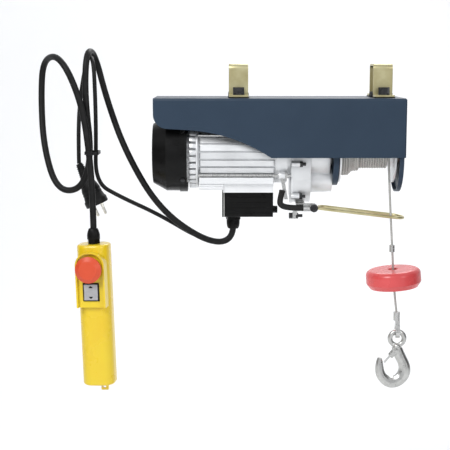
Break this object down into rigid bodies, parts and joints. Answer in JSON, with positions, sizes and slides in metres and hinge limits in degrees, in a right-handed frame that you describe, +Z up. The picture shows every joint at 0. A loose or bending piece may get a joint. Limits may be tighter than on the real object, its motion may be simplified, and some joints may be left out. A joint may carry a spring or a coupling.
{
  "type": "electric wire rope hoist",
  "caption": "Electric wire rope hoist: strap clamps for a square beam, finned motor, reduction gearbox, rope drum, latched hook with stopper, limit lever and corded control handset.",
  "frame": {"origin": "top of the cover, midway between the beam clamps, in the beam's middle plane", "axes": "+X along the drum and motor axis towards the drum end, +Z up, front at -Y"},
  "size_m": [0.6098, 0.1561, 0.5415],
  "materials": {
    "yellow_zinc": "satin",
    "black_rubber": "matte",
    "bolt_steel": "satin",
    "blue_paint": "satin",
    "black_plastic": "matte",
    "cast_aluminium": "satin",
    "silver_paint": "satin",
    "bright_steel": "satin",
    "copper": "satin",
    "white_rubber": "matte",
    "yellow_plastic": "gloss",
    "red_plastic": "gloss",
    "grey_plastic": "satin",
    "cable_rubber": "matte",
    "wire_rope": "satin",
    "forged_zinc": "satin"
  },
  "bodies": {
    "frame": {"clamp_saddles": "yellow_zinc", "clamp_pads": "black_rubber", "clamp_bolts": "bolt_steel", "cover": "blue_paint", "carrier_frame": "blue_paint", "fan_cover": "black_plastic", "rear_shield": "cast_aluminium", "motor_housing": "cast_aluminium", "front_shield": "cast_aluminium", "tie_rods": "bright_steel", "stator_core": "bright_steel", "stator_windings": "copper", "bearings": "bright_steel", "brake_magnet": "bolt_steel", "gear_case": "cast_aluminium", "gear_cover": "cast_aluminium", "housing_screws": "bolt_steel", "terminal_base": "silver_paint", "switch_box": "black_plastic", "box_gasket": "white_rubber", "box_lid": "black_plastic", "seal_nut": "black_plastic", "cable_gland": "black_plastic", "capacitor": "bright_steel", "contact_block": "black_plastic", "lever_bracket": "bright_steel", "lever_bolts": "bolt_steel", "lever_strap": "bright_steel", "handset_shell": "yellow_plastic", "handset_bezel": "yellow_plastic", "rocker_frame": "black_plastic", "handset_switch": "black_plastic", "handset_gland": "black_plastic", "pendant_cable": "cable_rubber", "mains_cable": "cable_rubber", "mains_plug": "cable_rubber", "cable_tie": "black_plastic"},
    "motor_rotor": {"motor_shaft": "bright_steel", "rotor_core": "bright_steel", "cooling_fan": "black_plastic", "brake_disc": "bolt_steel"},
    "layshaft": {"layshaft": "bright_steel", "layshaft_wheel": "bright_steel"},
    "drum": {"drum_wheel": "bright_steel", "drum_shaft": "bright_steel", "drum": "silver_paint", "rope_windings": "wire_rope"},
    "hook_load": {"rope_fall": "wire_rope", "rope_tail": "wire_rope", "rope_ferrules": "bright_steel", "thimble": "bright_steel"},
    "stopper": {"stopper_disc": "red_plastic"},
    "hook": {"hook": "forged_zinc"},
    "hook_latch": {"hook_latch": "forged_zinc"},
    "limit_lever": {"lever_loop": "yellow_zinc", "lever_hub": "bright_steel", "lever_sleeve": "black_rubber"},
    "stop_stem": {"stop_stem": "black_plastic"},
    "stop_cap": {"stop_cap": "red_plastic"},
    "rocker": {"rocker": "grey_plastic"}
  },
  "joints": [
    {"name": "motor_spin", "type": "hinge", "parent": "frame", "child": "motor_rotor", "pos_m": [-0.115, 0, -0.0885], "axis": [1, 0, 0], "range_deg": [-3200, 21200]},
    {"name": "layshaft_spin", "type": "hinge", "parent": "frame", "child": "layshaft", "pos_m": [0, 0, -0.12787], "axis": [1, 0, 0], "range_deg": [-3535.33, 535.33]},
    {"name": "drum_spin", "type": "hinge", "parent": "frame", "child": "drum", "pos_m": [0.09, 0, -0.0885], "axis": [1, 0, 0], "range_deg": [-113.82, 748.44]},
    {"name": "hook_travel", "type": "slide", "parent": "frame", "child": "hook_load", "axis": [0, 0, 1], "range_m": [-0.30024, 0.04549], "deforming": ["rope_fall"]},
    {"name": "stopper_lift", "type": "slide", "parent": "hook_load", "child": "stopper", "axis": [0, 0, 1], "range_m": [0, 0.02]},
    {"name": "hook_swing", "type": "hinge", "parent": "hook_load", "child": "hook", "pos_m": [0.1427, -0.023, -0.3807], "axis": [0, 1, 0], "range_deg": [-35, 35]},
    {"name": "latch_turn", "type": "hinge", "parent": "hook", "child": "hook_latch", "pos_m": [0.1397, -0.023, -0.4036], "axis": [0, -1, 0], "range_deg": [0, 35], "stiffness_Nm_per_rad": 0.01, "springref_deg": -17.19},
    {"name": "lever_lift", "type": "hinge", "parent": "frame", "child": "limit_lever", "pos_m": [0.0055, -0.04, -0.1705], "axis": [0, -1, 0], "range_deg": [0, 8], "stiffness_Nm_per_rad": 0.05, "springref_deg": -11.46},
    {"name": "stop_press", "type": "slide", "parent": "frame", "child": "stop_stem", "axis": [0.1392, 0.9903, 0], "range_m": [0, 0.004]},
    {"name": "stop_twist", "type": "hinge", "parent": "stop_stem", "child": "stop_cap", "pos_m": [-0.34248, -0.08476, -0.26098], "axis": [-0.1392, -0.9903, 0], "range_deg": [-45, 0], "stiffness_Nm_per_rad": 0.02},
    {"name": "rocker_tilt", "type": "hinge", "parent": "frame", "child": "rocker", "pos_m": [-0.33912, -0.06908, -0.29746], "axis": [0.9898, -0.1391, 0.0314], "range_deg": [-6, 6], "stiffness_Nm_per_rad": 0.2}
  ],
  "couplings": [
    {"joint": "layshaft_spin", "follows": "motor_spin", "ratio": -0.16667},
    {"joint": "drum_spin", "follows": "motor_spin", "ratio": 0.035256},
    {"joint": "hook_travel", "follows": "motor_spin", "m_per_rad": -0.0008109}
  ]
}
